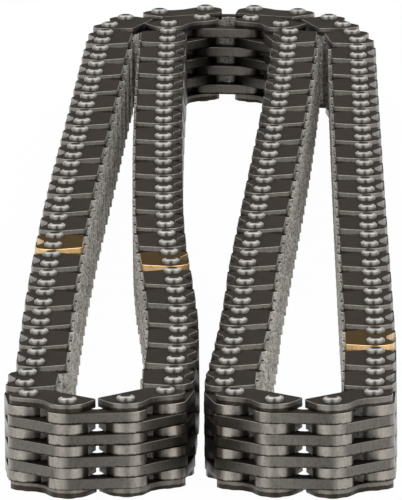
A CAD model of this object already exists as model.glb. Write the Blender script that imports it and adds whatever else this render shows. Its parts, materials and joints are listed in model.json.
"""Dresses the CAD model of a silent timing chain, which lies on its edge and is folded into two arms."""

import json
import math

import bpy
import numpy as np
from bpy.props import FloatProperty, FloatVectorProperty, IntProperty, PointerProperty
from bpy.types import NodeSocket, Operator, Panel, PropertyGroup
from mathutils import Matrix, Vector


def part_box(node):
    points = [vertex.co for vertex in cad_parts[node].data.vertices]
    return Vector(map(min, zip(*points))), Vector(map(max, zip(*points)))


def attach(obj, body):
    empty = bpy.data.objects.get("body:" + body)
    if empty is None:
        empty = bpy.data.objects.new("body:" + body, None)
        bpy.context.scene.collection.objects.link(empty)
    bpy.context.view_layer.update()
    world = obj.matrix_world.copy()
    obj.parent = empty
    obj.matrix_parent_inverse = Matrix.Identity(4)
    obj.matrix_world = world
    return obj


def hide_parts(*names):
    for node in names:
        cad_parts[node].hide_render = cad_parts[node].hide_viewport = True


bl_info = {
    "name": "Silent timing chain",
    "version": (1, 0, 0),
    "blender": (4, 5, 0),
    "location": "View3D > Sidebar > Chain",
    "description": "Builds the plates, pins and studio of a silent timing chain around its CAD frame",
    "category": "Object",
}

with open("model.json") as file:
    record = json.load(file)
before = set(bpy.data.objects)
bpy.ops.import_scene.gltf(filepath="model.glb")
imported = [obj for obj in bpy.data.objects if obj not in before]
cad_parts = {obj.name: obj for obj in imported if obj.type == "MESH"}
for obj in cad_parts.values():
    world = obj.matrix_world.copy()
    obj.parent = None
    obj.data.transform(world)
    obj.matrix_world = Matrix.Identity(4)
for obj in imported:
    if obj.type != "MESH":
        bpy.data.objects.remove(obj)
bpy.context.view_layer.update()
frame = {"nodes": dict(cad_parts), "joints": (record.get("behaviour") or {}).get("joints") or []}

MM = 0.001

# The first and last link that each body carries. Link i runs from pin i to pin i + 1.
LINKS = {
    "outer_back": (174, 180),
    "left_outer_back": (1, 13),
    "left_outer_middle": (14, 29),
    "left_outer_front": (30, 42),
    "left_front_link": (43, 43),
    "left_inner_front": (44, 57),
    "left_inner_middle": (58, 73),
    "left_inner_back": (74, 85),
    "inner_back_left": (86, 87),
    "inner_back_right": (88, 88),
    "right_inner_back": (89, 100),
    "right_inner_middle": (101, 116),
    "right_inner_front": (117, 130),
    "right_front_link": (131, 131),
    "right_outer_front": (132, 144),
    "right_outer_middle": (145, 160),
    "right_outer_back": (161, 173),
}

# The link whose two guide plates are plated as timing marks, for each body that has one
MARKED = {"left_outer_middle": 26, "left_inner_middle": 58, "right_outer_front": 138}

# The link before this pin holds it loosely, where the two halves of the loop meet
MEET_PIN = 88

# How many sides make up a round shape
PIN_SIDES = 16
TOOTHED_HOLE_SIDES = 8
GUIDE_HOLE_SIDES = 12

# The sprockets wear a toothed plate's wall where its outward normal, of length 1, reaches farther than this
# towards the tips of the teeth
WORN_PAST = 0.4

# An edge where the surface turns by more than this is sharp
SHARP_ANGLE = math.radians(38)

# Where the softboxes of each pair stand, in degrees round from the camera and up from the floor, their width
# and height in metres, and how far all four are from the chain
LOW_SOFTBOX = {"round_degrees": 42, "up_degrees": 20, "size": (1.7, 0.7)}
HIGH_SOFTBOX = {"round_degrees": 108, "up_degrees": 63, "size": (1.4, 1.2)}
SOFTBOX_AWAY = 1.6

# The dark panel's height, and how far it stands behind the camera, in metres
PANEL_HEIGHT = 1.8
PANEL_BEHIND = 0.25

# The black flag's distance from the chain in metres, where it begins and ends, in degrees up from the front,
# and how many flat strips it has
FLAG_AWAY = 1.9
FLAG_FROM, FLAG_TO = 20, 115
FLAG_STRIPS = 19

# How much of the floor is plain white where the camera or a reflection sees it. The rest shows the shadow.
WHITE_SHARE = 0.98
WHITE = (1.0, 1.0, 1.0, 1.0)


def linear(hex_colour):
    """An sRGB hex colour as linear red, green, blue and alpha. A channel c becomes c / 12.92 up to 0.04045,
    and ((c + 0.055) / 1.055) ^ 2.4 above it."""
    c = np.array([int(hex_colour[i:i + 2], 16) for i in (1, 3, 5)]) / 255
    return (*np.where(c <= 0.04045, c / 12.92, ((c + 0.055) / 1.055) ** 2.4).tolist(), 1.0)


def metres(name, description, value):
    """A length that the sidebar shows, given in metres."""
    return FloatProperty(name=name, description=description, default=value, unit="LENGTH", precision=5)


def length(name, description, millimetres):
    """A length that the sidebar shows, given in millimetres and kept in metres."""
    return metres(name, description, millimetres * MM)


def angle(name, description, degrees):
    """An angle that the sidebar shows, given in degrees and kept in radians."""
    return FloatProperty(name=name, description=description, default=math.radians(degrees), subtype="ANGLE")


def strength(name, description, value, unit="NONE"):
    """How strong a light is."""
    return FloatProperty(name=name, description=description, default=value, min=0, unit=unit)


def colour(name, description, hex_colour):
    """A colour that the sidebar shows, given as sRGB hex and kept as linear values."""
    return FloatVectorProperty(
        name=name, description=description, default=linear(hex_colour), size=4, subtype="COLOR", min=0, max=1)


class ChainSizes(PropertyGroup):
    """The sizes of one link's plates and pins. They are the CAD model's, but for a pin's rim, which is
    smaller here, and for a pin's crown and the plates' broken edges, which only this script has."""

    rows: IntProperty(name="Rows", description="Rows of toothed plates across the chain", default=7)
    plate_t: length("Plate thickness", "Thickness of a toothed plate", 1.5)
    end_r: length("Plate end radius", "Radius of a toothed plate round each pin", 2.9)
    tooth_h: length("Tooth height", "Height of the tooth tips below the line of pins", 4.7)
    flank: angle("Flank slope", "Slope of the tooth flanks from upright", 30)
    crotch_h: length("Crotch height", "Height of the plate between the line of pins and the tooth gap", 0.25)
    crotch_r: length("Crotch radius", "Radius at the bottom of the gap between the teeth", 1.0)
    tip_bevel: length("Tip bevel", "Bevel on the corners of the tooth tips", 0.35)
    run_clear: length("Running clearance", "Radial clearance of a toothed plate on its pin", 0.03)
    meet_clear: length("Loose clearance", "Radial clearance at the pin where the loop's halves meet", 0.4)
    guide_t: length("Guide thickness", "Thickness of a guide plate", 1.15)
    guide_r: length("Guide end radius", "Radius of a guide plate round each pin", 2.7)
    guide_h: length("Guide height", "Height of the guide plate's straight edge below the line of pins", 4.3)
    guide_reach: length("Guide reach", "How far the straight edge reaches past the pins at each end", 1.17)
    guide_waist: length("Guide waist", "Distance from the line of pins to the waist in the back", 1.5)
    guide_corner: length("Guide corner", "Rounding of the corners of the guide plate's straight edge", 0.6)
    press_clear: length("Press clearance", "Radial clearance round a pin in a guide plate", 0.01)
    pin_d: length("Pin diameter", "Diameter of a pin", 2.65)
    pin_round: length("Pin rim", "Rounding of the rim of a pin's end", 0.3)
    pin_crown: length("Pin crown", "How far the middle of a pin's end stands out over its rim", 0.15)
    edge_break: length("Edge break", "Width of the broken edge that tumbling leaves on a plate", 0.06)


class ChainColours(PropertyGroup):
    """The colours of the chain's surfaces and of the stage."""

    face: colour("Plate face", "Rolled and oiled faces of the steel plates", "#38322c")
    edge: colour("Plate edge", "Blanked edges of the toothed plates", "#8a857e")
    guide_edge: colour("Guide plate edge", "Blanked edges of the guide plates", "#736f69")
    edge_dull: colour("Torn edge", "The part of a blanked edge that tore instead of being sheared", "#38332d")
    worn: colour("Worn tooth", "Flanks and tips of the teeth, polished by the sprockets", "#e6e3dc")
    worn_dull: colour("Oil on the teeth", "Oil and soot left on the flanks and tips of the teeth", "#9d9992")
    pin: colour("Pin", "Polished walls and rims of the pins", "#8f8d88")
    mark: colour("Timing mark", "Blanked edges of the plated timing marks", "#cbaa7c")
    mark_dull: colour("Timing mark, torn edge", "The torn part of a timing mark's edge", "#8f7440")
    mark_face: colour("Timing mark face", "Faces of the plated timing marks", "#4a3a1e")
    floor: colour("Floor", "The studio's floor", "#ffffff")
    cloth: colour("Black cloth", "The dark panel and the flag that the steel reflects", "#1c1b1a")


class StudioSettings(PropertyGroup):
    """The camera, the lamps, the dark panel and flag, and the floor."""

    lens: FloatProperty(
        name="Lens", description="Focal length for a sensor 36 mm wide", default=1005.4, unit="CAMERA")
    distance_y: metres("Camera distance", "How far the camera stands in front of the chain's middle", 2.05575)
    height: metres("Camera height", "Height of the camera over the floor", 0.358798)
    shift_x: metres("Camera shift", "How far the camera stands to the right of the chain's middle", -0.0004)
    down: angle("Camera dip", "How far the camera looks down", 9.785)
    roll: angle("Camera roll", "How far the camera leans to one side", -0.712)
    ambient: strength("Ambient light", "Strength of the light from all round", 0.28)
    low_power: strength("Low softbox power", "Power of each of the two low softboxes", 4.4, "POWER")
    high_power: strength("High softbox power", "Power of each of the two high softboxes", 10.0, "POWER")
    dark_width: metres("Dark panel width", "Width of the dark panel behind the camera", 1.7)
    flag_width: metres("Flag width", "Width of the black flag over the chain", 0.4)
    floor_size: metres("Floor size", "Width of the floor", 6.0)


def pin_places():
    """The plan places of all the pins in the chain's order, with pin 1 on the left arm's swing hinge.

    The flat bottom of a pin is a disc, so its rim fulfils x^2 + y^2 = 2 a x + 2 b y + c, and a least squares
    fit of that gives its centre (a, b). Neighbours in the chain stand one pitch apart, the next pin is the
    one most nearly straight on, and in the order kept here the area that the loop encloses is positive.
    """
    # A pin's bottom lies lower than at_floor, and its points lie nearer to each other than one_pin, which is
    # less than the way to the next pin. Neighbours stand a pitch apart, give or take pitch_slack.
    at_floor, one_pin, pitch_slack = 0.01 * MM, 3 * MM, 0.03 * MM
    floor_points = []
    for name, node in frame["nodes"].items():
        if name.endswith("_pins"):
            co = np.empty(len(node.data.vertices) * 3, np.float32)
            node.data.vertices.foreach_get("co", co)
            co = co.reshape(-1, 3).astype(float)
            floor_points.append(co[co[:, 2] < at_floor, :2])
    points = np.concatenate(floor_points)
    centres = []
    while len(points):
        mine = np.linalg.norm(points - points[0], axis=1) < one_pin
        rim = points[mine]
        terms = np.column_stack([2 * rim, np.ones(len(rim))])
        fit = np.linalg.lstsq(terms, (rim ** 2).sum(1), rcond=None)[0]
        centres.append(fit[:2])
        points = points[~mine]
    centres = np.array(centres)
    apart = np.linalg.norm(centres[:, None] - centres[None], axis=2)
    np.fill_diagonal(apart, 1)
    pitch = np.median(apart.min(axis=1))
    next_to = [np.flatnonzero(abs(row - pitch) < pitch_slack) for row in apart]
    hinge = next(j for j in frame["joints"] if j["name"] == "left_arm_swing")["pos_m"][:2]
    order = [int(np.linalg.norm(centres - hinge, axis=1).argmin())]
    order.append(int(next_to[order[0]][0]))
    while len(order) < len(centres):
        before, here = order[-2:]
        onward = [(centres[k] - centres[here]) @ (centres[here] - centres[before]) for k in next_to[here]]
        order.append(int(next_to[here][int(np.argmax(onward))]))
    loop = centres[order]
    x, y = loop.T
    if (x * np.roll(y, -1) - y * np.roll(x, -1)).sum() < 0:
        loop = np.roll(loop[::-1], 1, axis=0)
    return np.roll(loop, 1, axis=0)


# The place of each pin, the way from it to the next one, that way's heading, and half a pitch
PINS = pin_places()
STEPS = np.roll(PINS, -1, axis=0) - PINS
TURNS = np.arctan2(STEPS[:, 1], STEPS[:, 0])
HALF = np.linalg.norm(STEPS, axis=1).mean() / 2

# Every plate and pin draws its own tone from this
TONES = np.random.default_rng(11)


def links_of(body):
    """The links that a body carries. Link 0 comes after the last one of the loop."""
    first, last = LINKS[body]
    return np.arange(first, last + 1) % len(PINS)


def guide_links_of(body):
    """The even links, which carry guide plates and hold their pins."""
    links = links_of(body)
    return links[links % 2 == 0]


def middles(links, z):
    """The middle of each link, at the height z."""
    between = (PINS[links] + PINS[(links + 1) % len(PINS)]) / 2
    return np.column_stack([between, np.broadcast_to(z, len(links))])


def arc(x, y, radius, start, end, steps):
    """Points of a circle: x + r cos(a), y + r sin(a), with a running evenly from start to end, in degrees."""
    a = np.radians(np.linspace(start, end, steps + 1))
    return np.column_stack([x + radius * np.cos(a), y + radius * np.sin(a)])


def mirrored(points):
    """The same points on the other side of the y axis, in reverse, so that the outline goes on round."""
    return points[::-1] * [-1, 1]


def toothed_outline(sizes):
    """Outline of a toothed plate, anticlockwise from the back: a quarter and a bit of a circle round each
    pin, straight flanks at the flank angle down to bevelled tips, and a round-bottomed gap between the teeth.
    The teeth point to +y. Each point also has a burnish from 0 to 1: the round ends rub against the guides,
    the flat back doesn't."""
    flank = math.degrees(sizes.flank)
    cos, tan, sin = math.cos(sizes.flank), math.tan(sizes.flank), math.sin(sizes.flank)
    tip_y, bevel = sizes.tooth_h, sizes.tip_bevel
    gap_y = sizes.crotch_h + sizes.crotch_r
    outer_x = HALF + sizes.end_r * cos - (tip_y - sizes.end_r * sin) * tan
    inner_x = sizes.crotch_r * cos + (tip_y - gap_y + sizes.crotch_r * sin) * tan
    tips = np.array([
        [outer_x + bevel * sin, tip_y - bevel * cos],
        [outer_x - bevel, tip_y],
        [inner_x + bevel, tip_y],
        [inner_x - bevel * sin, tip_y - bevel * cos]])
    end = np.concatenate([arc(HALF, 0, sizes.end_r, -90, 0, 4), arc(HALF, 0, sizes.end_r, 0, flank, 1)[1:]])
    right = np.concatenate([end, tips])
    gap = arc(0, gap_y, sizes.crotch_r, -flank, flank - 180, 4)
    burnish = np.array([0.0, 0.7, 1.0, 1.0, 0.8, 0.6] + [0.5] * len(tips))
    outline = np.concatenate([right, gap, mirrored(right)])
    return outline, np.concatenate([burnish, [0.3] * len(gap), burnish[::-1]])


def guide_outline(sizes):
    """Outline of a guide plate, anticlockwise from the waist in its back: two lobes round the pins, ends that
    run from each lobe's tangent to the corners, and a straight edge. The waist is the circle that touches
    both lobes. The lobes and the ends are the most burnished."""
    reach, edge_y, corner = sizes.guide_reach, sizes.guide_h, sizes.guide_corner
    lean_in = math.atan2(edge_y, reach) - math.acos(sizes.guide_r / math.hypot(reach, edge_y))
    slope = math.degrees(lean_in)
    corner_x = HALF + reach - corner * math.tan((math.pi / 2 - lean_in) / 2)
    narrowing = sizes.guide_r - sizes.guide_waist
    waist_r = (HALF ** 2 + sizes.guide_waist ** 2 - sizes.guide_r ** 2) / narrowing / 2
    waist_y = -sizes.guide_waist - waist_r
    lean = math.degrees(math.atan2(-waist_y, HALF))
    right = np.concatenate([
        arc(HALF, 0, sizes.guide_r, lean - 180, 0, 4),
        arc(HALF, 0, sizes.guide_r, 0, slope, 1)[1:],
        arc(corner_x, edge_y - corner, corner, slope, 90, 2)])
    waist = arc(0, waist_y, waist_r, 180 - lean, lean, 3)[1:-1]
    burnish = np.array([0.6, 1.0, 1.0, 1.0, 1.0, 1.0, 1.0, 0.6, 0.0])
    outline = np.concatenate([right, mirrored(right), waist])
    return outline, np.concatenate([burnish, burnish[::-1], [0.2] * len(waist)])


def drawn_in(outline, distance):
    """The outline moved inwards. With m and n the inward normals of its two edges, each corner goes
    d (m + n) / (1 + m.n)."""
    edges = np.roll(outline, -1, axis=0) - outline
    normals = np.column_stack([-edges[:, 1], edges[:, 0]]) / np.linalg.norm(edges, axis=1)[:, None]
    before = np.roll(normals, 1, axis=0)
    return outline + distance * (before + normals) / (1 + (before * normals).sum(1))[:, None]


def bands(first, count, rings):
    """The quads between closed rings of count points that follow each other from index first."""
    i = np.arange(count)
    j = (i + 1) % count
    ring = first + count * np.arange(rings - 1)[:, None]
    return np.stack([ring + i, ring + j, ring + j + count, ring + i + count], axis=-1).reshape(-1, 4)


class Shape:
    """A shape that is repeated: its points, its faces, each face's material number, and for each point its
    burnish and how far it lies across the thickness, both from 0 to 1."""

    def __init__(self, points, faces, kinds, burnish, across):
        self.points = points
        self.loops = np.concatenate([np.asarray(f).ravel() for f in faces])
        self.sizes = np.array([len(f) for f in faces])
        self.kinds = np.array(kinds)
        self.burnish = burnish
        self.across = across


def plate(drawn, thickness, edge_break, hole_radii, hole_sides, worn_past=math.inf):
    """A plate: its outline is carried straight up its thickness and over a broken upper edge, and its two
    flat faces are each made of an upper and a lower half that meet on the line through the two round holes.
    Walls whose outward normal has a y above worn_past are of kind 2, the other walls of kind 1, and the flat
    faces of kind 0."""
    outline, burnish = drawn
    count = len(outline)
    outlines = (outline, outline, drawn_in(outline, edge_break))
    heights = (0, thickness - edge_break, thickness)
    rings = [np.column_stack([ring, np.full(count, z)]) for ring, z in zip(outlines, heights)]
    a = 2 * np.pi * np.arange(hole_sides) / hole_sides
    for side, radius in zip((-1, 1), hole_radii):
        xy = np.column_stack([side * HALF + radius * np.cos(a), radius * np.sin(a)])
        rings += [np.column_stack([xy, np.full(hole_sides, z)]) for z in (0, thickness)]
    points = np.concatenate(rings)
    faces = list(bands(0, count, 3))
    walls = np.roll(outline, -1, axis=0) - outline
    worn = -walls[:, 0] / np.linalg.norm(walls, axis=1) > worn_past
    kinds = list(np.tile(np.where(worn, 2, 1), 2))
    left_hole, right_hole = 3 * count, 3 * count + 2 * hole_sides
    for hole in (left_hole, right_hole):
        wall = bands(hole, hole_sides, 2)[:, ::-1]
        faces += list(wall)
        kinds += [1] * len(wall)
    # The halves of a flat face run along the outline between its left and right ends, over or under the line
    # through the holes, and back along half of each hole
    far_left, far_right = int(outline[:, 0].argmin()), int(outline[:, 0].argmax())
    over = np.arange(far_right, far_left + 1)
    under = np.arange(far_left, far_right + count + 1) % count
    upper_half = np.arange(hole_sides // 2, -1, -1)
    lower_half = (hole_sides - upper_half[::-1]) % hole_sides
    for top, first in ((False, 0), (True, 2 * count)):
        left, right = (hole + (hole_sides if top else 0) for hole in (left_hole, right_hole))
        above = np.concatenate([first + over, left + upper_half, right + upper_half])
        below = np.concatenate([first + under, right + lower_half, left + lower_half])
        faces += [above, below] if top else [above[::-1], below[::-1]]
        kinds += [0, 0]
    burnish = np.concatenate([np.tile(burnish, 3), np.zeros(4 * hole_sides)])
    return Shape(points, faces, kinds, burnish, points[:, 2] / thickness)


def turned_pin(radius, rim, crown, height, sides):
    """A pin: a profile with an eased foot, a straight wall, a rounded rim and a crowned end, carried round
    the axis. With r, e, c and h the radius, the rim, the crown and the height, the rim's points have the
    radius r - e + e cos a and the height h - c - e (sin 75 - sin a), for a of 0, 38 and 75 degrees. Inside
    the rim, at the share f of its radius, the end lies c f^2 below its middle."""
    a = np.radians([0, 38, 75])
    rim_r = radius - rim + rim * np.cos(a)
    rim_z = height - crown - rim * (np.sin(a[-1]) - np.sin(a))
    share = 0.7
    profile_r = np.concatenate([[radius - rim, radius], rim_r, [share * rim_r[-1]]])
    profile_z = np.concatenate([[0, rim], rim_z, [height - crown * share ** 2]])
    t = 2 * np.pi * np.arange(sides) / sides
    grid = np.stack([
        profile_r[:, None] * np.cos(t), profile_r[:, None] * np.sin(t),
        np.repeat(profile_z[:, None], sides, axis=1)], axis=-1)
    rings = len(profile_r)
    points = np.concatenate([grid.reshape(-1, 3), [[0, 0, height]]])
    last = (rings - 1) * sides
    i = np.arange(sides)
    cap = np.column_stack([last + i, last + (i + 1) % sides, np.full(sides, last + sides)])
    faces = [*bands(0, sides, rings), i[::-1], *cap]
    kinds = [0] * sides * (rings - 1) + [1] * (sides + 1)
    return Shape(points, faces, kinds, points[:, 2] * 0, points[:, 2] / height)


def lay_out(name, shape, places, turns, materials):
    """A mesh of many copies of a shape. Each is turned by t about Z, x' = x cos t - y sin t and
    y' = x sin t + y cos t, and moved to its place, so the object itself stays at the origin. Each copy has
    its own tone from 0 to 1."""
    many, count = len(places), len(shape.points)
    cos, sin = np.cos(turns)[:, None], np.sin(turns)[:, None]
    x, y, z = shape.points.T
    points = np.stack([x * cos - y * sin, x * sin + y * cos, np.broadcast_to(z, (many, count))], axis=-1)
    points = (points + places[:, None, :]).reshape(-1, 3)
    loops = (shape.loops[None] + count * np.arange(many)[:, None]).ravel()
    sizes = np.tile(shape.sizes, many)
    mesh = bpy.data.meshes.new(name)
    mesh.vertices.add(len(points))
    mesh.vertices.foreach_set("co", points.ravel().astype(np.float32))
    mesh.loops.add(len(loops))
    mesh.loops.foreach_set("vertex_index", loops.astype(np.int32))
    mesh.polygons.add(len(sizes))
    starts = np.concatenate([[0], np.cumsum(sizes)[:-1]])
    mesh.polygons.foreach_set("loop_start", starts.astype(np.int32))
    for material in materials:
        mesh.materials.append(material)
    mesh.polygons.foreach_set("material_index", np.tile(shape.kinds, many).astype(np.int32))
    mesh.polygons.foreach_set("use_smooth", np.ones(len(sizes), bool))
    mesh.update(calc_edges=True)
    mesh.validate()
    mesh.set_sharp_from_angle(angle=SHARP_ANGLE)
    for attribute, values in (
            ("burnish", np.tile(shape.burnish, many)),
            ("across", np.tile(shape.across, many)),
            ("tone", np.repeat(TONES.random(many), count))):
        made = mesh.attributes.new(attribute, "FLOAT", "POINT")
        made.data.foreach_set("value", values.astype(np.float32))
    piece = bpy.data.objects.new(name, mesh)
    bpy.context.scene.collection.objects.link(piece)
    return piece


def stand_for(piece, body, node):
    """The piece takes the place of its CAD node."""
    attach(piece, body)
    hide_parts(node)


def lay_guides(name, body, node, links, sizes, materials):
    """The two guide plates of each link, one at the bottom of the CAD node and the other at its top. Their
    holes have their corners on the bore, so that no gap shows round a pressed-in pin."""
    bore = sizes.pin_d / 2 + sizes.press_clear
    shape = plate(guide_outline(sizes), sizes.guide_t, sizes.edge_break, (bore, bore), GUIDE_HOLE_SIDES)
    low, high = (corner.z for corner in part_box(node))
    places = np.concatenate([middles(links, low), middles(links, high - sizes.guide_t)])
    piece = lay_out(name, shape, places, np.tile(TURNS[links], 2), materials)
    stand_for(piece, body, node)


def add(tree, kind, *values, **named):
    """Adds one node. Values without a name go to its inputs in order. A name that begins with a capital is an
    input's identifier, with _ for a space, and any other name is a setting of the node. A socket is linked to
    the input, and any other value is set on it."""
    made = tree.nodes.new(kind)
    for name, value in named.items():
        if name[0].islower():
            setattr(made, name, value)
    inputs = {socket.identifier.replace(" ", "_"): socket for socket in made.inputs}
    chosen = [(inputs[name], value) for name, value in named.items() if name[0].isupper()]
    for socket, value in [*zip(made.inputs, values), *chosen]:
        if isinstance(value, NodeSocket):
            tree.links.new(value, socket)
        else:
            socket.default_value = value
    return made


def new_material(name):
    """A node material without nodes, and its tree."""
    material = bpy.data.materials.new(name)
    material.use_nodes = True
    material.node_tree.nodes.clear()
    return material, material.node_tree


# A Mix node that multiplies one colour by another, and one that goes from one colour to another
MULTIPLIED = {"data_type": "RGBA", "blend_type": "MULTIPLY", "Factor_Float": 1.0}
BLENDED = {"data_type": "RGBA", "blend_type": "MIX"}

# The Scale of a noise counts its cells in a metre, so n / MM is n cells in a millimetre


def oiled_steel_face(name, base, spread):
    """Heat treated and oiled steel: the rolled faces of the strip that the plates are blanked from, and the
    cut ends of the pins. It is dull and nearly black brown, with faint cloudy stains about 2 mm across, which
    change its shade by the spread. Real tumbling marks are finer than the 0.2 mm drawn here, at which they
    still show."""
    material, tree = new_material(name)
    place = add(tree, "ShaderNodeTexCoord").outputs["Object"]
    tone = add(tree, "ShaderNodeAttribute", attribute_name="tone").outputs["Fac"]
    stains = add(
        tree, "ShaderNodeTexNoise", Vector=place, Scale=0.5 / MM, Detail=3.0, Roughness=0.6).outputs[0]
    marks = add(tree, "ShaderNodeTexNoise", Vector=place, Scale=5 / MM, Detail=2.0, Roughness=0.5).outputs[0]
    shade = add(tree, "ShaderNodeMath", stains, spread, 0.9 - spread, operation="MULTIPLY_ADD").outputs[0]
    shade = add(tree, "ShaderNodeMath", tone, 0.2, shade, operation="MULTIPLY_ADD").outputs[0]
    shade = add(tree, "ShaderNodeMath", marks, 0.3, shade, operation="MULTIPLY_ADD").outputs[0]
    shaded = add(tree, "ShaderNodeMix", **MULTIPLIED, A_Color=base, B_Color=shade).outputs[2]
    rough = add(tree, "ShaderNodeMapRange", Value=marks, To_Min=0.6, To_Max=0.85).outputs[0]
    bump = add(tree, "ShaderNodeBump", Strength=0.15, Distance=0.02 * MM, Height=marks).outputs[0]
    steel = add(
        tree, "ShaderNodeBsdfPrincipled", Base_Color=shaded, Roughness=rough, Specular_IOR_Level=0.02,
        Normal=bump).outputs[0]
    add(tree, "ShaderNodeOutputMaterial", Surface=steel)
    return material


def blanked_edge(name, sheared, torn, tear):
    """The edge that the punch leaves: a sheared band with faint scores along the punch's travel, and a duller
    torn band below it. Each plate's tone sets how much of the thickness tore, between the two shares in tear.
    The burnished places are about twice as bright, and oil leaves blotches about 0.45 mm across. Real scores
    are finer than the 0.33 mm drawn here, at which they still show. The guides rub level marks into the
    edges. They are too fine to draw, and spread the highlights upright."""
    material, tree = new_material(name)
    place = add(tree, "ShaderNodeTexCoord").outputs["Object"]
    tone = add(tree, "ShaderNodeAttribute", attribute_name="tone").outputs["Fac"]
    across = add(tree, "ShaderNodeAttribute", attribute_name="across").outputs["Fac"]
    burnish = add(tree, "ShaderNodeAttribute", attribute_name="burnish").outputs["Fac"]
    drawn_out = add(tree, "ShaderNodeMapping", Vector=place, Scale=(1.0, 1.0, 0.15)).outputs[0]
    scores = add(
        tree, "ShaderNodeTexNoise", Vector=drawn_out, Scale=3 / MM, Detail=3.0, Roughness=0.65).outputs[0]
    oil = add(tree, "ShaderNodeTexNoise", Vector=place, Scale=2.2 / MM, Detail=2.0, Roughness=0.6).outputs[0]
    ragged = add(tree, "ShaderNodeMath", oil, 0.2, across, operation="MULTIPLY_ADD").outputs[0]
    limit = add(tree, "ShaderNodeMapRange", Value=tone, To_Min=tear[0], To_Max=tear[1]).outputs[0]
    over = add(tree, "ShaderNodeMath", ragged, limit, operation="SUBTRACT").outputs[0]
    whole = add(tree, "ShaderNodeMapRange", Value=over, From_Min=0.1, From_Max=0.2).outputs[0]
    bare = add(
        tree, "ShaderNodeMix", **BLENDED, Factor_Float=whole, A_Color=torn, B_Color=sheared).outputs[2]
    rubbed = add(tree, "ShaderNodeMapRange", Value=burnish, To_Min=0.62, To_Max=1.35).outputs[0]
    scored = add(
        tree, "ShaderNodeMapRange", Value=scores, From_Min=0.3, From_Max=0.7, To_Min=0.88,
        To_Max=1.08).outputs[0]
    oiled = add(
        tree, "ShaderNodeMapRange", Value=oil, From_Min=0.35, From_Max=0.55, To_Min=0.85,
        To_Max=1.03).outputs[0]
    shade = add(tree, "ShaderNodeMath", rubbed, scored, operation="MULTIPLY").outputs[0]
    shade = add(tree, "ShaderNodeMath", shade, oiled, operation="MULTIPLY").outputs[0]
    shaded = add(tree, "ShaderNodeMix", **MULTIPLIED, A_Color=bare, B_Color=shade).outputs[2]
    rough = add(tree, "ShaderNodeMapRange", Value=oil, To_Min=0.32, To_Max=0.44).outputs[0]
    bump = add(tree, "ShaderNodeBump", Strength=0.12, Distance=0.02 * MM, Height=scores).outputs[0]
    upright = add(tree, "ShaderNodeCombineXYZ", Z=1.0).outputs[0]
    steel = add(
        tree, "ShaderNodeBsdfPrincipled", Base_Color=shaded, Metallic=1.0, Roughness=rough, Normal=bump,
        Anisotropic=0.75, Tangent=upright).outputs[0]
    add(tree, "ShaderNodeOutputMaterial", Surface=steel)
    return material


def worn_teeth(name, bright, oiled):
    """Flanks and tips polished by the sprockets until they are bright, with specks of dried oil about 0.4 mm
    across in the pores of the steel."""
    material, tree = new_material(name)
    place = add(tree, "ShaderNodeTexCoord").outputs["Object"]
    tone = add(tree, "ShaderNodeAttribute", attribute_name="tone").outputs["Fac"]
    specks = add(
        tree, "ShaderNodeTexNoise", Vector=place, Scale=2.4 / MM, Detail=2.0, Roughness=0.5).outputs[0]
    clean = add(tree, "ShaderNodeMapRange", Value=specks, From_Min=0.36, From_Max=0.54).outputs[0]
    bare = add(
        tree, "ShaderNodeMix", **BLENDED, Factor_Float=clean, A_Color=oiled, B_Color=bright).outputs[2]
    shade = add(tree, "ShaderNodeMath", tone, 0.3, 0.8, operation="MULTIPLY_ADD").outputs[0]
    shaded = add(tree, "ShaderNodeMix", **MULTIPLIED, A_Color=bare, B_Color=shade).outputs[2]
    rough = add(tree, "ShaderNodeMapRange", Value=clean, To_Min=0.7, To_Max=0.55).outputs[0]
    bump = add(tree, "ShaderNodeBump", Strength=0.2, Distance=0.03 * MM, Height=specks).outputs[0]
    steel = add(
        tree, "ShaderNodeBsdfPrincipled", Base_Color=shaded, Metallic=0.3, Roughness=rough,
        Normal=bump).outputs[0]
    add(tree, "ShaderNodeOutputMaterial", Surface=steel)
    return material


def polished_pin(name, base, smooth, dull):
    """Hardened steel wire, barrelled until it is bright, with a trace of oil in patches of about 0.8 mm. Its
    roughness varies between smooth and dull. Oil has crept up each pin's end from the guide plate, and its
    upper rim is rubbed the brightest."""
    material, tree = new_material(name)
    place = add(tree, "ShaderNodeTexCoord").outputs["Object"]
    tone = add(tree, "ShaderNodeAttribute", attribute_name="tone").outputs["Fac"]
    across = add(tree, "ShaderNodeAttribute", attribute_name="across").outputs["Fac"]
    film = add(tree, "ShaderNodeTexNoise", Vector=place, Scale=1.3 / MM, Detail=3.0, Roughness=0.6).outputs[0]
    shade = add(tree, "ShaderNodeMath", film, 0.5, 0.65, operation="MULTIPLY_ADD").outputs[0]
    shade = add(tree, "ShaderNodeMath", tone, 0.2, shade, operation="MULTIPLY_ADD").outputs[0]
    crept = add(
        tree, "ShaderNodeMapRange", Value=across, From_Min=0.95, From_Max=0.992, To_Min=0.4,
        To_Max=1.25).outputs[0]
    shade = add(tree, "ShaderNodeMath", shade, crept, operation="MULTIPLY").outputs[0]
    shaded = add(tree, "ShaderNodeMix", **MULTIPLIED, A_Color=base, B_Color=shade).outputs[2]
    rough = add(tree, "ShaderNodeMapRange", Value=film, To_Min=smooth, To_Max=dull).outputs[0]
    steel = add(
        tree, "ShaderNodeBsdfPrincipled", Base_Color=shaded, Metallic=1.0, Roughness=rough).outputs[0]
    add(tree, "ShaderNodeOutputMaterial", Surface=steel)
    return material


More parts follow.
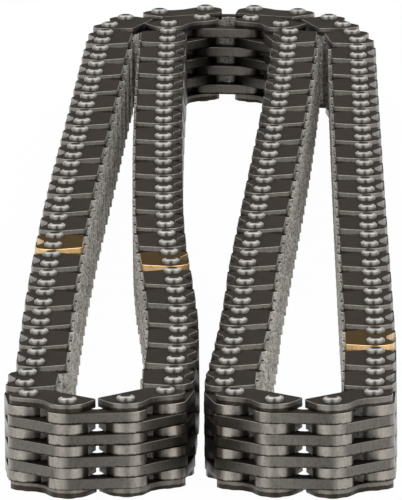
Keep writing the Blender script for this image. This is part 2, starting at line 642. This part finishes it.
class CHAIN_OT_toothed_plates(Operator):
    """Build the toothed plates. Guide links take every second row, and the links that join them the rest"""

    bl_idname = "chain.toothed_plates"
    bl_label = "Toothed plates"

    def execute(self, context):
        sizes, colours = context.scene.chain_sizes, context.scene.chain_colours
        drawn, sides = toothed_outline(sizes), TOOTHED_HOLE_SIDES
        # The holes have the middles of their sides on the bore, so that the plates stay clear of the pins
        to_corner = 1 / math.cos(math.pi / sides)
        snug = (sizes.pin_d / 2 + sizes.run_clear) * to_corner
        loose = (sizes.pin_d / 2 + sizes.meet_clear) * to_corner
        usual = plate(drawn, sizes.plate_t, sizes.edge_break, (snug, snug), sides, WORN_PAST)
        before_meet = plate(drawn, sizes.plate_t, sizes.edge_break, (snug, loose), sides, WORN_PAST)
        materials = [
            oiled_steel_face("oiled_spring_steel_face", colours.face, 0.5),
            blanked_edge("blanked_spring_steel_edge", colours.edge, colours.edge_dull, (0.0, 0.12)),
            worn_teeth("worn_tooth_flank", colours.worn, colours.worn_dull)]
        for body in LINKS:
            node = f"{body}_toothed_plates"
            low, high = (corner.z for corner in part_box(node))
            # Counted from 0, the rows of an even link are odd, and those of an odd link are even
            links, rows = np.array([
                (i, row) for i in links_of(body) for row in range(1 - i % 2, sizes.rows, 2)]).T
            first, last = rows.min(), rows.max()
            play = (high - low - (last - first + 1) * sizes.plate_t) / (last - first)
            places = middles(links, low + (rows - first) * (sizes.plate_t + play))
            at_meet = links + 1 == MEET_PIN
            piece = lay_out(f"{body}_toothed", usual, places[~at_meet], TURNS[links[~at_meet]], materials)
            if at_meet.any():
                end = lay_out(
                    f"{body}_toothed_end", before_meet, places[at_meet], TURNS[links[at_meet]], materials)
                stand_for(end, body, node)
            stand_for(piece, body, node)
        return {"FINISHED"}


class CHAIN_OT_guide_plates(Operator):
    """Build the steel guide plates, one on each side of every second link"""

    bl_idname = "chain.guide_plates"
    bl_label = "Guide plates"

    def execute(self, context):
        sizes, colours = context.scene.chain_sizes, context.scene.chain_colours
        materials = [
            oiled_steel_face("oiled_guide_plate_face", colours.face, 0.5),
            blanked_edge("blanked_guide_plate_edge", colours.guide_edge, colours.edge_dull, (0.25, 0.6))]
        for body in LINKS:
            links = guide_links_of(body)
            links = links[links != MARKED.get(body, -1)]
            if len(links):
                node = f"{body}_guide_plates"
                lay_guides(f"{body}_guides", body, node, links, sizes, materials)
        return {"FINISHED"}


class CHAIN_OT_marker_plates(Operator):
    """Build the plated guide plates that serve as timing marks"""

    bl_idname = "chain.marker_plates"
    bl_label = "Timing marks"

    def execute(self, context):
        sizes, colours = context.scene.chain_sizes, context.scene.chain_colours
        materials = [
            oiled_steel_face("plated_mark_face", colours.mark_face, 0.4),
            blanked_edge("plated_mark_edge", colours.mark, colours.mark_dull, (0.2, 0.4))]
        for body, link in MARKED.items():
            node = f"{body}_marker_plates"
            lay_guides(f"{body}_marks", body, node, np.array([link]), sizes, materials)
        return {"FINISHED"}


class CHAIN_OT_pins(Operator):
    """Build the pins, two in each guide link"""

    bl_idname = "chain.pins"
    bl_label = "Pins"

    def execute(self, context):
        sizes, colours = context.scene.chain_sizes, context.scene.chain_colours
        materials = [
            polished_pin("barrelled_pin_steel", colours.pin, 0.26, 0.38),
            oiled_steel_face("cut_pin_end", colours.face, 0.4)]
        for body in LINKS:
            links = guide_links_of(body)
            if len(links):
                node = f"{body}_pins"
                low, high = (corner.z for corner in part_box(node))
                shape = turned_pin(sizes.pin_d / 2, sizes.pin_round, sizes.pin_crown, high - low, PIN_SIDES)
                both = np.column_stack([links, (links + 1) % len(PINS)]).ravel()
                places = np.column_stack([PINS[both], np.full(len(both), low)])
                piece = lay_out(f"{body}_pin_row", shape, places, np.repeat(TURNS[links], 2), materials)
                stand_for(piece, body, node)
        return {"FINISHED"}


class CHAIN_OT_studio(Operator):
    """Set up the floor, the white surroundings, the dark panel and flag, four softboxes and the camera"""

    bl_idname = "chain.studio"
    bl_label = "Studio"

    def execute(self, context):
        scene, settings = context.scene, context.scene.chain_studio
        half = settings.floor_size / 2
        corners = [(-half, -half, 0), (half, -half, 0), (half, half, 0), (-half, half, 0)]
        mesh = bpy.data.meshes.new("floor")
        mesh.from_pydata(corners, [], [(0, 1, 2, 3)])
        mesh.materials.append(self.white_floor(scene.chain_colours.floor))
        floor = bpy.data.objects.new("floor", mesh)
        scene.collection.objects.link(floor)
        self.white_surroundings(scene, settings.ambient)
        self.dark_panel(scene, settings)
        for side, name in ((-1, "left"), (1, "right")):
            self.softbox(scene, f"low_softbox_{name}", side, settings.low_power, **LOW_SOFTBOX)
            self.softbox(scene, f"high_softbox_{name}", side, settings.high_power, **HIGH_SOFTBOX)
        self.camera(scene, settings)
        scene.view_settings.view_transform = "Standard"
        return {"FINISHED"}

    def looked_at(self, tree):
        """1 for a ray that the camera, a reflection or a clear body sends, else 0."""
        rays = add(tree, "ShaderNodeLightPath").outputs
        camera, glossy, clear = (rays[f"Is {kind} Ray"] for kind in ("Camera", "Glossy", "Transmission"))
        either = add(tree, "ShaderNodeMath", camera, glossy, operation="MAXIMUM").outputs[0]
        return add(tree, "ShaderNodeMath", either, clear, operation="MAXIMUM").outputs[0]

    def white_floor(self, base):
        """A matt white sweep. What looks at it directly or in a reflection sees it white, with a soft trace
        of the shadow."""
        material, tree = new_material("white_sweep")
        matt = add(
            tree, "ShaderNodeBsdfPrincipled", Base_Color=base, Roughness=0.9,
            Specular_IOR_Level=0.0).outputs[0]
        glow = add(tree, "ShaderNodeEmission", Color=WHITE, Strength=1.0).outputs[0]
        seen = self.looked_at(tree)
        share = add(tree, "ShaderNodeMath", seen, WHITE_SHARE, operation="MULTIPLY").outputs[0]
        mixed = add(tree, "ShaderNodeMixShader", share, matt, glow).outputs[0]
        add(tree, "ShaderNodeOutputMaterial", Surface=mixed)
        return material

    def white_surroundings(self, scene, ambient):
        """The world is white where it is looked at, and gives a plain level of light to everything else."""
        world = bpy.data.worlds.new("white_surroundings")
        world.use_nodes = True
        tree = world.node_tree
        tree.nodes.clear()
        seen = self.looked_at(tree)
        level = add(tree, "ShaderNodeMapRange", Value=seen, To_Min=ambient, To_Max=1.0).outputs[0]
        back = add(tree, "ShaderNodeBackground", Color=WHITE, Strength=level).outputs[0]
        add(tree, "ShaderNodeOutputWorld", Surface=back)
        scene.world = world

    def dark_panel(self, scene, settings):
        """The dark room behind the camera, as an upright panel that the polished steel shows, and a black
        flag that hangs over the chain between the softboxes. The flag is a strip of a cylinder about the X
        axis: its points are (x, -r cos a, r sin a), with a running from FLAG_FROM to FLAG_TO."""
        half, y = settings.dark_width / 2, -settings.distance_y - PANEL_BEHIND
        corners = [(-half, y, 0), (-half, y, PANEL_HEIGHT), (half, y, PANEL_HEIGHT), (half, y, 0)]
        a = np.radians(np.linspace(FLAG_FROM, FLAG_TO, FLAG_STRIPS + 1))
        y, z = -FLAG_AWAY * np.cos(a), FLAG_AWAY * np.sin(a)
        sides = (-settings.flag_width / 2, settings.flag_width / 2)
        flag = np.concatenate([np.column_stack([np.full(len(a), x), y, z]) for x in sides])
        i = len(corners) + np.arange(FLAG_STRIPS)
        strips = np.column_stack([i, i + len(a), i + len(a) + 1, i + 1])
        mesh = bpy.data.meshes.new("dark_panel")
        mesh.from_pydata([*corners, *flag.tolist()], [], [(0, 1, 2, 3), *strips.tolist()])
        mesh.materials.append(self.dark_cloth(scene.chain_colours.cloth))
        panel = bpy.data.objects.new("dark_panel", mesh)
        panel.visible_camera = False
        scene.collection.objects.link(panel)

    def dark_cloth(self, base):
        """Matt black studio cloth."""
        material, tree = new_material("dark_cloth")
        cloth = add(tree, "ShaderNodeBsdfPrincipled", Base_Color=base, Roughness=1.0).outputs[0]
        add(tree, "ShaderNodeOutputMaterial", Surface=cloth)
        return material

    def softbox(self, scene, name, side, power, round_degrees, up_degrees, size):
        """A soft light that is aimed at the chain. It stands so far round from the camera, and so high."""
        lamp = bpy.data.lights.new(name, "AREA")
        lamp.shape = "RECTANGLE"
        lamp.size, lamp.size_y = size
        lamp.energy = power
        box = bpy.data.objects.new(name, lamp)
        around, up = side * math.radians(round_degrees), math.radians(up_degrees)
        level, z = SOFTBOX_AWAY * math.cos(up), SOFTBOX_AWAY * math.sin(up)
        box.location = (level * math.sin(around), -level * math.cos(around), z)
        box.rotation_euler = (-box.location).to_track_quat("-Z", "Y").to_euler()
        box.visible_camera = False
        scene.collection.objects.link(box)

    def camera(self, scene, settings):
        """A long lens low in front of the chain. Its right and down axes are turned by the roll."""
        data = bpy.data.cameras.new("camera")
        data.sensor_width = 36.0
        data.lens = settings.lens
        data.clip_end = 100.0
        down, roll = settings.down, settings.roll
        ahead = Vector((0, math.cos(down), -math.sin(down)))
        level_down = Vector((0, -math.sin(down), -math.cos(down)))
        right = Vector((1, 0, 0)) * math.cos(roll) - level_down * math.sin(roll)
        below = Vector((1, 0, 0)) * math.sin(roll) + level_down * math.cos(roll)
        camera = bpy.data.objects.new("camera", data)
        turn = Matrix((right, -below, -ahead)).transposed().to_4x4()
        place = Matrix.Translation((settings.shift_x, -settings.distance_y, settings.height))
        camera.matrix_world = place @ turn
        scene.collection.objects.link(camera)
        scene.camera = camera


OPERATORS = (
    CHAIN_OT_toothed_plates,
    CHAIN_OT_guide_plates,
    CHAIN_OT_marker_plates,
    CHAIN_OT_pins,
    CHAIN_OT_studio,
)


class CHAIN_PT_sidebar(Panel):
    """The chain's sizes and colours, and the steps that build it"""

    bl_idname = "CHAIN_PT_sidebar"
    bl_label = "Silent chain"
    bl_space_type = "VIEW_3D"
    bl_region_type = "UI"
    bl_category = "Chain"

    def draw(self, context):
        scene = context.scene
        for group in (scene.chain_sizes, scene.chain_colours, scene.chain_studio):
            box = self.layout.box()
            for name in group.__annotations__:
                box.prop(group, name)
        for operator in OPERATORS:
            self.layout.operator(operator.bl_idname)


CLASSES = (ChainSizes, ChainColours, StudioSettings, *OPERATORS, CHAIN_PT_sidebar)


def register():
    for cls in CLASSES:
        bpy.utils.register_class(cls)
    bpy.types.Scene.chain_sizes = PointerProperty(type=ChainSizes)
    bpy.types.Scene.chain_colours = PointerProperty(type=ChainColours)
    bpy.types.Scene.chain_studio = PointerProperty(type=StudioSettings)


def unregister():
    del bpy.types.Scene.chain_studio
    del bpy.types.Scene.chain_colours
    del bpy.types.Scene.chain_sizes
    for cls in reversed(CLASSES):
        bpy.utils.unregister_class(cls)


def main():
    """Builds the chain and its studio."""
    register()
    bpy.ops.chain.toothed_plates()
    bpy.ops.chain.guide_plates()
    bpy.ops.chain.marker_plates()
    bpy.ops.chain.pins()
    bpy.ops.chain.studio()


if __name__ == "__main__":
    main()
